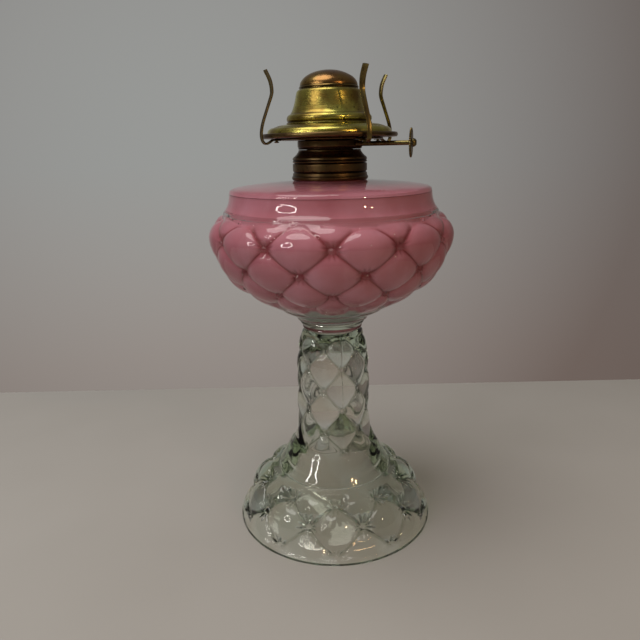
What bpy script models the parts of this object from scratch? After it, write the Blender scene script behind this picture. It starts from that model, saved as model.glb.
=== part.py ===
"""Oil lamp: a pressed glass stand, a cased glass font and a flat-wick burner with a thumbwheel.

Each physical piece is its own object. Outlines are in millimetres as (radius, height) pairs and
are turned about the lamp's upright axis, +Z. The lamp stands on z = 0 and the axis is x = y = 0.
The burner's shaft points along +X.
"""
import math

import bmesh
import bpy

MM = 0.001
MERGE = 0.00001
GAP = 0.3

# Glass stand and font
SEGMENTS = 32
BURNER_SEGMENTS = 24
FOOT_RADIUS = 63.2
STEM_TOP = 128.0
WAFER_RADIUS = 20.1
WAFER_TOP = 134.3
FONT_BOTTOM = WAFER_TOP + GAP
FONT_RADIUS = 72.0
FONT_BELLY = 187.0
FONT_FLOOR = 145.4
NECK_RADIUS = 19.8
NECK_BORE = 18.4
NECK_TOP = 224.0
LINING = 1.2

# Collar
COLLAR_RADIUS = 21.5
COLLAR_FOOT = 217.6
COLLAR_TOP = 227.0
COLLAR_BORE = 15.9
SHEET = 0.7

# Burner body
FLANGE_BOTTOM = COLLAR_TOP + GAP
FLANGE_TOP = 229.7
BURNER_WAIST_RADIUS = 17.1
BURNER_WAIST = 234.3
BASKET_RADIUS = 18.4
BASKET_TOP = 239.5
SPIGOT_RADIUS = COLLAR_BORE - GAP
SPIGOT_BOTTOM = 220.5
TUBE_WIDTH = 27.4
TUBE_DEPTH = 5.0
TUBE_WALL = 0.6
TUBE_BOTTOM = 222.0
TUBE_TOP = 266.0
VENT_RADIUS = 1.5
VENT_OFFSET = 7.5

# Wick and its raiser
WICK_WIDTH = 25.0
WICK_DEPTH = 2.6
WICK_BOTTOM = 160.0
WICK_TOP = 267.0
SHAFT_RADIUS = 1.3
SHAFT_HEIGHT = 237.2
SHAFT_OFFSET = -5.5
SHAFT_START = -14.5
SHAFT_END = 47.6
SPUR_RADIUS = 4.0
SPUR_ROOT = 3.1
SPUR_TEETH = 10
SPUR_WIDTH = 1.2
SPUR_PLACES = (-7.0, 0.0, 7.0)
BUSH_RADIUS = 2.3
BUSH_ENDS = (16.2, 19.6)
THUMBWHEEL_RADIUS = 7.9
THUMBWHEEL_TEETH = 36
THUMBWHEEL_ENDS = (46.5, 47.6)

# Gallery
SCREEN_BOTTOM = BASKET_TOP + GAP
SCREEN_TOP = SCREEN_BOTTOM + SHEET
SCREEN_RADII = (15.6, 30.6)
SCREEN_HOLES = 20
PLATE_BOTTOM = SCREEN_TOP + GAP
PLATE_TOP = PLATE_BOTTOM + SHEET
PLATE_INNER = 30.0
RIM_RADIUS = 38.9
RIM_TOP = 243.3
SEAT_TOP = 248.1
DOME_BOTTOM = SEAT_TOP + GAP
DOME_TOP = 277.0
SLOT_LENGTH = 27.0
SLOT_WIDTH = 6.6

# Prongs
PRONG_ANGLES = tuple(math.radians(angle) for angle in (42.0, 121.0, 222.0, 312.0))
PRONG_THICKNESS = 1.1
PRONG_LEVEL = PLATE_BOTTOM - GAP - PRONG_THICKNESS / 2
PRONG_PIVOT = 33.2
RIVET_RADIUS = 0.75
RIVET_HOLE = RIVET_RADIUS + GAP

COLOURS = {
    "clear_glass": ((0.80, 0.86, 0.80), 0.0, 0.05, 0.9),
    "pink_glass": ((0.72, 0.34, 0.40), 0.0, 0.15, 0.0),
    "plaster": ((0.72, 0.69, 0.62), 0.0, 0.9, 0.0),
    "dark_brass": ((0.20, 0.13, 0.07), 1.0, 0.4, 0.0),
    "brass": ((0.55, 0.42, 0.14), 1.0, 0.3, 0.0),
    "cotton": ((0.80, 0.75, 0.62), 0.0, 0.95, 0.0),
}


def clear_scene():
    """Remove whatever objects and meshes are already in the file."""
    for thing in list(bpy.data.objects):
        bpy.data.objects.remove(thing, do_unlink=True)
    for mesh in list(bpy.data.meshes):
        bpy.data.meshes.remove(mesh)


def new_collection(name):
    collection = bpy.data.collections.new(name)
    bpy.context.scene.collection.children.link(collection)
    return collection


def new_material(name):
    colour, metallic, roughness, transmission = COLOURS[name]
    material = bpy.data.materials.new(name)
    material.use_nodes = True
    shader = material.node_tree.nodes["Principled BSDF"]
    shader.inputs["Base Color"].default_value = (*colour, 1.0)
    shader.inputs["Metallic"].default_value = metallic
    shader.inputs["Roughness"].default_value = roughness
    shader.inputs["Transmission Weight"].default_value = transmission
    material.diffuse_color = (*colour, 1.0)
    return material


clear_scene()
LAMP = new_collection("oil_lamp")
CUTTERS = new_collection("cutters")
MATERIALS = {name: new_material(name) for name in COLOURS}


def place(thing, name, material=None, origin=(0.0, 0.0, 0.0), turn=0.0):
    """Name an object, give it its material and put it at origin (millimetres), turned about +Z."""
    thing.name = name
    thing.location = [value * MM for value in origin]
    thing.rotation_euler = (0.0, 0.0, turn)
    if material is None:
        CUTTERS.objects.link(thing)
        thing.hide_render = True
        thing.display_type = "WIRE"
    else:
        LAMP.objects.link(thing)
        thing.data.materials.clear()
        thing.data.materials.append(MATERIALS[material])
    return thing


def curve_through(points, steps):
    """Points along a Catmull-Rom curve through the given points, with steps to each span."""
    ends = [points[0]] + list(points) + [points[-1]]
    path = []
    for before, start, finish, after in zip(ends, ends[1:], ends[2:], ends[3:]):
        for step in range(steps):
            t = step / steps
            path.append(tuple(
                0.5 * (2 * b + (c - a) * t + (2 * a - 5 * b + 4 * c - d) * t * t
                       + (3 * b - a - 3 * c + d) * t ** 3)
                for a, b, c, d in zip(before, start, finish, after)
            ))
    return path + [tuple(points[-1])]


def offset_path(points, distance):
    """The path moved sideways by distance, to its right as it runs, with mitred corners."""
    moved = []
    for index, (x, y) in enumerate(points):
        before = points[max(index - 1, 0)]
        after = points[min(index + 1, len(points) - 1)]
        directions = []
        for start, finish in ((before, (x, y)), ((x, y), after)):
            length = math.dist(start, finish)
            if length > 0:
                directions.append(((finish[0] - start[0]) / length, (finish[1] - start[1]) / length))
        first, last = directions[0], directions[-1]
        normal = (first[1] + last[1], -first[0] - last[0])
        scale = distance * 2 / (normal[0] ** 2 + normal[1] ** 2)
        moved.append((x + normal[0] * scale, y + normal[1] * scale))
    return moved


def turned(name, outline, material=None, segments=SEGMENTS, origin=(0.0, 0.0, 0.0), turn=0.0):
    """Turn a closed outline about the object's own Z axis; it runs down the outer side."""
    mesh = bpy.data.meshes.new(name)
    shape = bmesh.new()
    corners = [shape.verts.new((radius * MM, 0.0, height * MM)) for radius, height in outline]
    for start, finish in zip(corners, corners[1:] + corners[:1]):
        if start.co.x > 0 or finish.co.x > 0:
            shape.edges.new((start, finish))
    shape.to_mesh(mesh)
    shape.free()
    thing = place(bpy.data.objects.new(name, mesh), name, material, origin, turn)
    screw = thing.modifiers.new("turn", "SCREW")
    screw.axis = "Z"
    screw.steps = segments
    screw.render_steps = segments
    screw.use_merge_vertices = True
    screw.merge_threshold = MERGE
    screw.use_smooth_shade = True
    return thing


def rod(name, radius, length, material=None, origin=(0.0, 0.0, 0.0), along="Z", sides=16):
    """A straight cylinder centred on its origin, along Z or X."""
    mesh = bpy.data.meshes.new(name)
    shape = bmesh.new()
    bmesh.ops.create_cone(shape, cap_ends=True, segments=sides, radius1=radius * MM,
                          radius2=radius * MM, depth=length * MM)
    if along == "X":
        for vert in shape.verts:
            vert.co = (vert.co.z, vert.co.x, vert.co.y)
    shape.to_mesh(mesh)
    shape.free()
    mesh.shade_smooth()
    mesh.set_sharp_from_angle(angle=math.radians(40))
    return place(bpy.data.objects.new(name, mesh), name, material, origin)


def block(name, size, material=None, origin=(0.0, 0.0, 0.0)):
    """A box centred on its origin."""
    mesh = bpy.data.meshes.new(name)
    shape = bmesh.new()
    bmesh.ops.create_cube(shape, size=1.0)
    for vert in shape.verts:
        vert.co = [value * side * MM for value, side in zip(vert.co, size)]
    shape.to_mesh(mesh)
    shape.free()
    return place(bpy.data.objects.new(name, mesh), name, material, origin)


def circle(radius, sides, centre=(0.0, 0.0)):
    """Corners of a regular polygon."""
    angles = [math.tau * index / sides for index in range(sides)]
    return [(centre[0] + radius * math.cos(a), centre[1] + radius * math.sin(a)) for a in angles]


def toothed(outer, root, teeth):
    """Outline of a wheel whose edge goes in and out once to each tooth."""
    corners = []
    for index in range(2 * teeth):
        radius = outer if index % 2 == 0 else root
        angle = math.tau * index / (2 * teeth)
        corners.append((radius * math.cos(angle), radius * math.sin(angle)))
    return corners


def stadium(width, depth, steps=6):
    """Outline of a flat bar with rounded edges, its width along X."""
    radius = depth / 2
    straight = width / 2 - radius
    corners = []
    for side in (1, -1):
        for step in range(steps + 1):
            angle = side * (math.pi * step / steps - math.pi / 2)
            corners.append((side * (straight + radius * math.cos(angle)), radius * math.sin(angle)))
    return corners


def flat_piece(name, outlines, thickness, material=None, origin=(0.0, 0.0, 0.0), along="Z"):
    """Flat outlines filled and given a thickness, centred on origin; inner outlines are holes."""
    curve = bpy.data.curves.new(name, "CURVE")
    curve.dimensions = "2D"
    curve.fill_mode = "BOTH"
    curve.extrude = thickness * MM / 2
    for outline in outlines:
        spline = curve.splines.new("POLY")
        spline.points.add(len(outline) - 1)
        for point, (x, y) in zip(spline.points, outline):
            point.co = (x * MM, y * MM, 0.0, 1.0)
        spline.use_cyclic_u = True
    drawn = bpy.data.objects.new(name + "_outline", curve)
    LAMP.objects.link(drawn)
    mesh = bpy.data.meshes.new_from_object(drawn.evaluated_get(bpy.context.evaluated_depsgraph_get()))
    bpy.data.objects.remove(drawn, do_unlink=True)
    shape = bmesh.new()
    shape.from_mesh(mesh)
    bmesh.ops.remove_doubles(shape, verts=shape.verts, dist=MERGE)
    bmesh.ops.recalc_face_normals(shape, faces=shape.faces)
    if along == "X":
        for vert in shape.verts:
            vert.co = (vert.co.z, vert.co.x, vert.co.y)
    shape.to_mesh(mesh)
    shape.free()
    return place(bpy.data.objects.new(name, mesh), name, material, origin)


def cut(thing, *cutters):
    """Take each cutter away from an object."""
    for cutter in cutters:
        boolean = thing.modifiers.new("cut_" + cutter.name, "BOOLEAN")
        boolean.operation = "DIFFERENCE"
        boolean.solver = "EXACT"
        boolean.object = cutter


def foot_and_stem():
    """Foot and hollow stem, pressed in one piece and open underneath."""
    stem = curve_through([(17.7, 127.4), (20.2, 119.0), (22.6, 104.0), (23.4, 86.0), (24.0, 64.0),
                          (28.8, 49.0), (35.6, 36.4)], 2)
    foot = curve_through([(36.2, 33.8), (46.0, 31.0), (55.2, 21.2), (61.1, 8.2),
                          (FOOT_RADIUS, 1.0)], 2)
    hollow = curve_through([(58.9, 1.0), (57.0, 6.0), (52.0, 16.0), (43.0, 26.0), (31.5, 31.5),
                            (24.4, 47.0), (19.9, 64.0), (18.9, 84.0), (18.4, 103.0), (14.5, 116.0)], 1)
    outline = [(0.0, STEM_TOP), (17.0, STEM_TOP)] + stem + foot
    outline += [(FOOT_RADIUS - 0.9, 0.0), (59.6, 0.0)] + hollow + [(0.0, 121.0)]
    turned("foot_and_stem", outline, "clear_glass")


def glass_wafer():
    """Thick glass disc that joins the stem to the font."""
    outline = [(0.0, WAFER_TOP), (19.3, WAFER_TOP), (WAFER_RADIUS, 133.5), (19.2, 131.4), (18.2, 130.3),
               (18.1, 129.2), (17.8, STEM_TOP + GAP), (0.0, STEM_TOP + GAP)]
    turned("glass_wafer", outline, "clear_glass")


def font_cavity():
    """The casing's inner wall, from the neck down to the middle of the floor."""
    wall = curve_through([(52.0, 211.2), (55.8, 208.6), (58.6, 201.4), (66.2, 195.0), (68.8, FONT_BELLY),
                          (66.6, 176.0), (58.6, 164.0), (47.0, 154.8), (31.0, 147.4)], 1)
    return [(NECK_BORE, NECK_TOP), (NECK_BORE, 213.6), (35.0, 212.6)] + wall + [(25.0, FONT_FLOOR)]


def font_casing():
    """Clear outer layer of the font, with its neck and its thick bottom."""
    top = curve_through([(NECK_RADIUS, 217.3), (40.0, 215.8), (56.0, 213.8), (59.0, 212.0)], 2)
    band = curve_through([(59.2, 208.0), (60.4, 202.8), (62.6, 199.9)], 1)
    belly = curve_through([(64.6, 198.9), (70.0, 194.4), (FONT_RADIUS, FONT_BELLY), (70.9, 178.0),
                           (67.6, 169.6), (60.6, 160.4), (49.0, 151.0), (35.8, 143.9)], 2)
    outline = [(NECK_RADIUS, NECK_TOP)] + top + band + belly
    outline += [(25.2, 137.4), (21.8, FONT_BOTTOM), (0.0, FONT_BOTTOM), (0.0, FONT_FLOOR)]
    outline += list(reversed(font_cavity()))
    turned("font_casing", outline, "clear_glass")


def font_lining():
    """Pink inner layer of the font, open at the neck."""
    cavity = font_cavity() + [(0.0, FONT_FLOOR)]
    outside = offset_path(cavity, GAP)
    inside = offset_path(cavity, GAP + LINING)
    turned("font_lining", outside + list(reversed(inside)), "pink_glass")


def collar():
    """Threaded brass collar, a channel that fits down over both sides of the glass neck."""
    outline = [(COLLAR_BORE, COLLAR_TOP), (COLLAR_RADIUS, COLLAR_TOP), (COLLAR_RADIUS, 220.2),
               (COLLAR_RADIUS + 0.7, 219.4), (COLLAR_RADIUS + 0.7, 218.4), (COLLAR_RADIUS, COLLAR_FOOT),
               (COLLAR_RADIUS - SHEET, COLLAR_FOOT), (COLLAR_RADIUS - SHEET, COLLAR_TOP - SHEET),
               (COLLAR_BORE + SHEET, COLLAR_TOP - SHEET), (COLLAR_BORE + SHEET, 219.0),
               (COLLAR_BORE, 219.0)]
    turned("collar", outline, "dark_brass", BURNER_SEGMENTS)


def collar_plaster():
    """Plaster that beds the collar on the neck."""
    top = COLLAR_TOP - SHEET - GAP
    outside = COLLAR_RADIUS - SHEET - GAP
    outline = [(COLLAR_BORE + SHEET + GAP, top), (outside, top), (outside, 218.6),
               (NECK_RADIUS + GAP, 218.6), (NECK_RADIUS + GAP, NECK_TOP + GAP),
               (COLLAR_BORE + SHEET + GAP, NECK_TOP + GAP)]
    turned("collar_plaster", outline, "plaster", BURNER_SEGMENTS)


def burner_base():
    """Burner body: spigot, flange and neck, with a floor that the wick and vent tubes pass."""
    outline = [(BURNER_WAIST_RADIUS, BURNER_WAIST), (20.2, FLANGE_TOP + 0.8), (21.3, FLANGE_TOP),
               (21.4, FLANGE_BOTTOM), (SPIGOT_RADIUS, FLANGE_BOTTOM), (SPIGOT_RADIUS, SPIGOT_BOTTOM),
               (SPIGOT_RADIUS - SHEET, SPIGOT_BOTTOM), (SPIGOT_RADIUS - SHEET, FLANGE_TOP - SHEET),
               (0.0, FLANGE_TOP - SHEET), (0.0, FLANGE_TOP), (19.2, FLANGE_TOP),
               (BURNER_WAIST_RADIUS - 0.9, BURNER_WAIST)]
    base = turned("burner_base", outline, "dark_brass", BURNER_SEGMENTS)
    slot = flat_piece("wick_tube_hole", [stadium(TUBE_WIDTH + 2 * GAP, TUBE_DEPTH + 2 * GAP)], 4.0,
                      origin=(0.0, 0.0, FLANGE_TOP))
    vent = rod("vent_tube_hole", VENT_RADIUS + GAP, 4.0, origin=(0.0, VENT_OFFSET, FLANGE_TOP))
    cut(base, slot, vent)


def burner_basket():
    """Drum between the burner's neck and the gallery, with a hole for the shaft's bush."""
    bottom = BURNER_WAIST + GAP
    outline = [(BASKET_RADIUS - SHEET, BASKET_TOP), (BASKET_RADIUS, BASKET_TOP),
               (BASKET_RADIUS, bottom + 0.4), (BASKET_RADIUS - 0.4, bottom), (15.9, bottom),
               (15.9, bottom + SHEET), (BASKET_RADIUS - SHEET, bottom + SHEET)]
    basket = turned("burner_basket", outline, "dark_brass", BURNER_SEGMENTS)
    hole = rod("bush_hole", BUSH_RADIUS + GAP, 6.0, origin=(BASKET_RADIUS, SHAFT_OFFSET, SHAFT_HEIGHT),
               along="X")
    cut(basket, hole)


def wick_tube():
    """Flat tube that carries the wick, with a window for each spur wheel."""
    inner = stadium(TUBE_WIDTH - 2 * TUBE_WALL, TUBE_DEPTH - 2 * TUBE_WALL)
    tube = flat_piece("wick_tube", [stadium(TUBE_WIDTH, TUBE_DEPTH), inner], TUBE_TOP - TUBE_BOTTOM,
                      "brass", origin=(0.0, 0.0, (TUBE_TOP + TUBE_BOTTOM) / 2))
    for index, place_x in enumerate(SPUR_PLACES, 1):
        window = block(f"spur_window_{index}", (SPUR_WIDTH + 2 * GAP, 2.4, 2 * SPUR_RADIUS),
                       origin=(place_x, -TUBE_DEPTH / 2, SHAFT_HEIGHT))
        cut(tube, window)


def vent_tube():
    """Small round tube that lets air into the font."""
    rings = [circle(VENT_RADIUS, 12), circle(VENT_RADIUS - 0.5, 12)]
    flat_piece("vent_tube", rings, 22.0, "brass", origin=(0.0, VENT_OFFSET, 233.0))


def wick():
    """Flat cotton wick that hangs into the font."""
    flat_piece("wick", [stadium(WICK_WIDTH, WICK_DEPTH, 3)], WICK_TOP - WICK_BOTTOM, "cotton",
               origin=(0.0, 0.0, (WICK_TOP + WICK_BOTTOM) / 2))


def ratchet_bracket():
    """Bracket behind the spur wheels whose two ears carry the shaft."""
    depth = 7.6
    centre = (0.0, SHAFT_OFFSET - SPUR_RADIUS - 1.0 + depth / 2, SHAFT_HEIGHT)
    bracket = block("ratchet_bracket", (22.4, depth, 4.8), "brass", centre)
    room = block("spur_room", (20.8, depth, 8.0), origin=(0.0, centre[1] + SHEET, SHAFT_HEIGHT))
    hole = rod("bracket_shaft_hole", SHAFT_RADIUS + GAP, 30.0,
               origin=(0.0, SHAFT_OFFSET, SHAFT_HEIGHT), along="X")
    cut(bracket, room, hole)


def wick_raiser():
    """Shaft with its spur wheels inside and its thumbwheel outside."""
    axis = (SHAFT_OFFSET, SHAFT_HEIGHT)
    rod("ratchet_shaft", SHAFT_RADIUS, SHAFT_END - SHAFT_START, "dark_brass",
        ((SHAFT_START + SHAFT_END) / 2, *axis), along="X")
    bush = [circle(BUSH_RADIUS, 16), circle(SHAFT_RADIUS + GAP, 16)]
    flat_piece("shaft_bush", bush, BUSH_ENDS[1] - BUSH_ENDS[0], "dark_brass",
               (sum(BUSH_ENDS) / 2, *axis), along="X")
    bore = circle(SHAFT_RADIUS + GAP, 12)
    for index, place_x in enumerate(SPUR_PLACES, 1):
        flat_piece(f"spur_wheel_{index}", [toothed(SPUR_RADIUS, SPUR_ROOT, SPUR_TEETH), bore],
                   SPUR_WIDTH, "brass", (place_x, *axis), along="X")
    edge = toothed(THUMBWHEEL_RADIUS, THUMBWHEEL_RADIUS - 0.4, THUMBWHEEL_TEETH)
    flat_piece("thumbwheel", [edge, bore], THUMBWHEEL_ENDS[1] - THUMBWHEEL_ENDS[0], "dark_brass",
               (sum(THUMBWHEEL_ENDS) / 2, *axis), along="X")
    rod("thumbwheel_rivet", 2.3, 2.3, "dark_brass", (SHAFT_END + GAP + 1.15, *axis), along="X")


def air_screen():
    """Pierced ring that lets air in under the gallery."""
    inner, outer = SCREEN_RADII
    rings = [circle(outer, BURNER_SEGMENTS), circle(inner, BURNER_SEGMENTS)]
    middle = (inner + outer) / 2 + 1.5
    rings += [circle(1.7, 8, centre) for centre in circle(middle, SCREEN_HOLES)]
    flat_piece("air_screen", rings, SHEET, "dark_brass", origin=(0.0, 0.0, (SCREEN_BOTTOM + SCREEN_TOP) / 2))


def around(radius, angle, height):
    return (radius * math.cos(angle), radius * math.sin(angle), height)


def gallery_plate():
    """Ring with a thick rim that the chimney stands on and the prongs hang from."""
    outline = [(RIM_RADIUS - 2.0, RIM_TOP), (RIM_RADIUS - 0.5, RIM_TOP), (RIM_RADIUS, RIM_TOP - 0.5),
               (RIM_RADIUS, PLATE_BOTTOM + 0.5), (RIM_RADIUS - 0.5, PLATE_BOTTOM),
               (PLATE_INNER, PLATE_BOTTOM), (PLATE_INNER, PLATE_TOP), (36.2, PLATE_TOP),
               (36.2, RIM_TOP - 0.6)]
    plate = turned("gallery_plate", outline, "dark_brass", BURNER_SEGMENTS)
    for index, angle in enumerate(PRONG_ANGLES, 1):
        hole = rod(f"plate_rivet_hole_{index}", RIVET_HOLE, 3.0,
                   origin=around(PRONG_PIVOT, angle, PLATE_BOTTOM), sides=12)
        cut(plate, hole)


def chimney_seat():
    """Dished plate inside the rim, under the dome."""
    outline = [(22.8, SEAT_TOP), (29.2, 247.7), (33.4, 246.7), (35.0, 245.2), (35.5, 243.4),
               (35.5, PLATE_TOP + GAP), (34.9, PLATE_TOP + GAP), (34.9, 243.3), (34.5, 244.9),
               (33.1, 246.1), (29.1, 247.1), (22.8, SEAT_TOP - SHEET)]
    turned("chimney_seat", outline, "brass", BURNER_SEGMENTS)


def burner_dome():
    """Deflector with a flared foot, a tapered drum and a round cap with the flame slot."""
    foot = [(24.2, DOME_BOTTOM), (24.6, 249.6), (23.8, 251.6)]
    drum = [(22.6, 253.0), (21.2, 256.2), (19.9, 260.6), (18.1, 265.6), (16.6, 266.8)]
    rise = DOME_TOP - 267.4
    cap = [(16.4 * math.cos(a), 267.4 + rise * math.sin(a))
           for a in (math.pi / 2 * step / 6 for step in range(6))]
    outside = foot + drum + cap + [(0.0, DOME_TOP)]
    inside = offset_path(outside, -SHEET)
    inside[0] = (foot[0][0] - SHEET, DOME_BOTTOM)
    inside[-1] = (0.0, DOME_TOP - SHEET)
    dome = turned("burner_dome", list(reversed(outside)) + inside, "brass", BURNER_SEGMENTS)
    slot = flat_piece("flame_slot", [stadium(SLOT_LENGTH, SLOT_WIDTH)], 10.0, origin=(0.0, 0.0, DOME_TOP))
    cut(dome, slot)


def prong_mesh():
    """Bent strip seen from its pivot: tab, loop under the rim, inward bow and flared tip."""
    tab = [(31.2, PRONG_LEVEL), (PRONG_PIVOT + 1.6, PRONG_LEVEL)]
    arm = curve_through([(36.0, PRONG_LEVEL - 0.1), (37.6, 238.6), (39.6, 237.9), (41.3, 239.4),
                         (42.0, 243.0), (40.9, 248.6), (37.6, 257.0), (34.8, 264.0), (35.6, 270.4),
                         (38.8, 276.5)], 2)
    mesh = bpy.data.meshes.new("prong")
    shape = bmesh.new()
    rows = []
    for radius, height in tab + arm:
        half_width = 1.5 + 0.5 * max(0.0, (height - 264.0) / 12.0)
        row = [shape.verts.new(((radius - PRONG_PIVOT) * MM, side * half_width * MM,
                                (height - PRONG_LEVEL) * MM)) for side in (-1, 1)]
        rows.append(row)
    for low, high in zip(rows, rows[1:]):
        shape.faces.new((low[0], low[1], high[1], high[0]))
    shape.to_mesh(mesh)
    shape.free()
    strip = place(bpy.data.objects.new("prong_strip", mesh), "prong_strip", "dark_brass")
    thickness = strip.modifiers.new("thickness", "SOLIDIFY")
    thickness.thickness = PRONG_THICKNESS * MM
    thickness.offset = 0.0
    thickness.use_even_offset = True
    hole = rod("tab_hole", RIVET_HOLE, 4.0, sides=12)
    cut(strip, hole)
    bpy.context.view_layer.update()
    solid = bpy.data.meshes.new_from_object(strip.evaluated_get(bpy.context.evaluated_depsgraph_get()))
    bpy.data.objects.remove(strip, do_unlink=True)
    bpy.data.objects.remove(hole, do_unlink=True)
    return solid


def prongs():
    """Four spring prongs, each with its pivot at the rivet that holds its tab under the rim."""
    mesh = prong_mesh()
    head_top = PLATE_TOP + GAP
    tab_bottom = PRONG_LEVEL - PRONG_THICKNESS / 2 - GAP
    rivet = [(0.0, head_top + 0.8), (1.2, head_top + 0.6), (1.2, head_top), (RIVET_RADIUS, head_top),
             (RIVET_RADIUS, tab_bottom), (1.4, tab_bottom), (1.4, tab_bottom - 0.5),
             (0.0, tab_bottom - 0.7)]
    for index, angle in enumerate(PRONG_ANGLES, 1):
        pivot = around(PRONG_PIVOT, angle, PRONG_LEVEL)
        place(bpy.data.objects.new("prong", mesh), f"prong_{index}", "dark_brass", pivot, angle)
        turned(f"prong_rivet_{index}", rivet, "dark_brass", 12, around(PRONG_PIVOT, angle, 0.0))


def build_lamp():
    foot_and_stem()
    glass_wafer()
    font_casing()
    font_lining()
    collar()
    collar_plaster()
    burner_base()
    burner_basket()
    wick_tube()
    vent_tube()
    wick()
    ratchet_bracket()
    wick_raiser()
    air_screen()
    gallery_plate()
    chimney_seat()
    burner_dome()
    prongs()


build_lamp()
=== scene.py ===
"""Looks of a quilted glass oil lamp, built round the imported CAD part.

Lengths here are in millimetres and are turned into metres when a mesh is made. Turned pieces are
outlines of (radius, height) points about the lamp's axis, +Z.
"""
import math

import bmesh
import bpy
import numpy as np
from mathutils import Matrix, Vector


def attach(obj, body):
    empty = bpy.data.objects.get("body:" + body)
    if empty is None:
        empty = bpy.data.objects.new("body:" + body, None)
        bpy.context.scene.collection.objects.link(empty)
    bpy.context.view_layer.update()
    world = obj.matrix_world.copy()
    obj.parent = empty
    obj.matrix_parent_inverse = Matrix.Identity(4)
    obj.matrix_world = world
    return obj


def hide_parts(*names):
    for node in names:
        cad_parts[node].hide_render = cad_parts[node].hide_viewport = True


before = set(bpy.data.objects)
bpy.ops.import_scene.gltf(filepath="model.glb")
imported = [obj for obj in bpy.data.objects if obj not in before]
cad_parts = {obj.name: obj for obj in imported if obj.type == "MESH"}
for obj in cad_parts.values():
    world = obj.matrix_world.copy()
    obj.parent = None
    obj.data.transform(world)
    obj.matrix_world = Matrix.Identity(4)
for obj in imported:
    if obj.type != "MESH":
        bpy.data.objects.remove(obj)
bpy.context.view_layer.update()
MM = 0.001

# ---------------------------------------------------------------- camera and stage
VIEW_AZIMUTH = math.radians(-76.0)      # where the camera stands, round the lamp
CAMERA_DISTANCE = 354.0
CAMERA_HEIGHT = 235.0
CAMERA_LEFT = 7.6
CAMERA_PITCH = math.radians(16.19)
CAMERA_ROLL = math.radians(-1.2)
CAMERA_LENS = 33.2
TABLE_BACK = 212.0


def from_view(angle_degrees):
    """Azimuth of a feature seen this many degrees to the right of the lamp's middle."""
    return VIEW_AZIMUTH + math.radians(angle_degrees)


def add_camera():
    toward = Vector((math.cos(VIEW_AZIMUTH), math.sin(VIEW_AZIMUTH), 0.0))
    right = Vector((-toward.y, toward.x, 0.0))
    place = toward * CAMERA_DISTANCE - right * CAMERA_LEFT + Vector((0.0, 0.0, CAMERA_HEIGHT))
    camera = bpy.data.objects.new("camera", bpy.data.cameras.new("camera"))
    camera.data.lens = CAMERA_LENS
    camera.data.sensor_width = 36.0
    camera.data.clip_start = 0.01
    camera.data.clip_end = 50.0
    turn = Matrix.Rotation(VIEW_AZIMUTH + math.pi / 2, 4, "Z")
    turn @= Matrix.Rotation(math.pi / 2 - CAMERA_PITCH, 4, "X")
    turn @= Matrix.Rotation(CAMERA_ROLL, 4, "Z")
    camera.matrix_world = Matrix.Translation(place * MM) @ turn
    bpy.context.collection.objects.link(camera)
    bpy.context.scene.camera = camera


# ---------------------------------------------------------------- node helpers
def node(tree, kind, **settings):
    """Add a shader node; keys are input names or, when no input has that name, attributes."""
    made = tree.nodes.new(kind)
    for key, value in settings.items():
        if key in made.inputs:
            made.inputs[key].default_value = value
        else:
            setattr(made, key, value)
    return made


def new_material(name):
    material = bpy.data.materials.new(name)
    material.use_nodes = True
    tree = material.node_tree
    tree.nodes.clear()
    output = tree.nodes.new("ShaderNodeOutputMaterial")
    shader = tree.nodes.new("ShaderNodeBsdfPrincipled")
    tree.links.new(shader.outputs[0], output.inputs["Surface"])
    return material, tree, shader, output


def object_coordinates(tree, scale=(1.0, 1.0, 1.0)):
    place = node(tree, "ShaderNodeTexCoord")
    mapping = node(tree, "ShaderNodeMapping")
    mapping.inputs["Scale"].default_value = scale
    tree.links.new(place.outputs["Object"], mapping.inputs["Vector"])
    return mapping.outputs[0]


def noise(tree, scale, detail=4.0, roughness=0.55, stretch=(1.0, 1.0, 1.0)):
    """Noise in object space; scale is in features per metre."""
    made = node(tree, "ShaderNodeTexNoise")
    made.inputs["Scale"].default_value = scale
    made.inputs["Detail"].default_value = detail
    made.inputs["Roughness"].default_value = roughness
    tree.links.new(object_coordinates(tree, stretch), made.inputs["Vector"])
    return made.outputs["Fac"]


def ramp(tree, value, stops):
    """Colour ramp; stops are (position, colour) and a colour may be one grey number."""
    made = node(tree, "ShaderNodeValToRGB")
    tree.links.new(value, made.inputs[0])
    elements = made.color_ramp.elements
    while len(elements) < len(stops):
        elements.new(0.5)
    for element, (position, colour) in zip(elements, stops):
        element.position = position
        if not isinstance(colour, (tuple, list)):
            colour = (colour,) * 3
        element.color = (*colour, 1.0)
    return made.outputs[0]


def mix(tree, factor, first, second, how="MIX"):
    made = node(tree, "ShaderNodeMix", data_type="RGBA", blend_type=how)
    for value, socket in ((factor, made.inputs[0]), (first, made.inputs[6]), (second, made.inputs[7])):
        if isinstance(value, bpy.types.NodeSocket):
            tree.links.new(value, socket)
        elif isinstance(value, tuple):
            socket.default_value = (*value, 1.0)
        else:
            socket.default_value = value
    return made.outputs[2]


def bump(tree, shader, height, distance, strength):
    """Let height, from 0 to 1, raise a shader's surface by distance metres."""
    made = node(tree, "ShaderNodeBump")
    made.inputs["Strength"].default_value = strength
    made.inputs["Distance"].default_value = distance
    tree.links.new(height, made.inputs["Height"])
    tree.links.new(made.outputs[0], shader.inputs["Normal"])


def height_in_mm(tree):
    """Height above the table, in millimetres, at rest."""
    split = node(tree, "ShaderNodeSeparateXYZ")
    tree.links.new(object_coordinates(tree, (1000.0, 1000.0, 1000.0)), split.inputs[0])
    return split.outputs[2]


def map_range(tree, value, low, high):
    made = node(tree, "ShaderNodeMapRange")
    tree.links.new(value, made.inputs["Value"])
    made.inputs["From Min"].default_value = low
    made.inputs["From Max"].default_value = high
    return made.outputs[0]


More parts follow.
